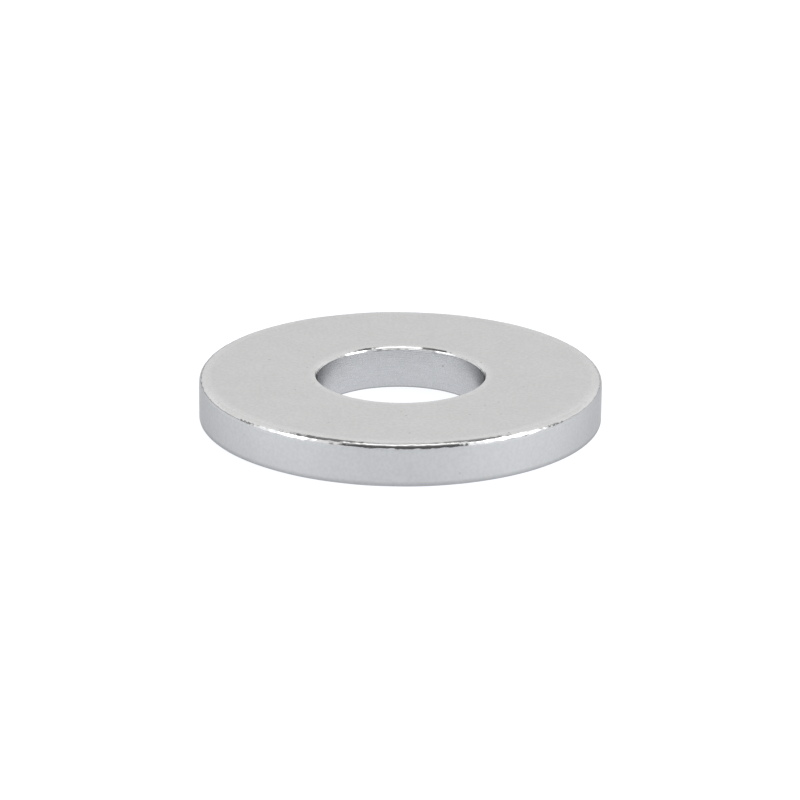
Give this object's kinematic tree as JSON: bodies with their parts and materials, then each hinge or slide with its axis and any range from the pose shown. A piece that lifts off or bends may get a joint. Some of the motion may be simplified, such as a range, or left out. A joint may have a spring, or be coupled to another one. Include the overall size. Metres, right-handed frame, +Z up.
{
  "type": "flat washer",
  "caption": "Plain round flat washer of bright plated steel: a thick ring with a central clearance hole and softly rounded edges.",
  "frame": {"origin": "on the bore's axis, at the middle of the underside", "axes": "+Z up along the bore's axis, from the underside to the more rounded face; +X and +Y are any two directions square to it, because the ring is round"},
  "size_m": [0.0254, 0.0254, 0.0027],
  "materials": {
    "plated_steel": "satin bright zinc plate over tumbled steel, burnished along the rounded edges"
  },
  "bodies": {
    "root": {"washer": "plated_steel"}
  },
  "joints": []
}
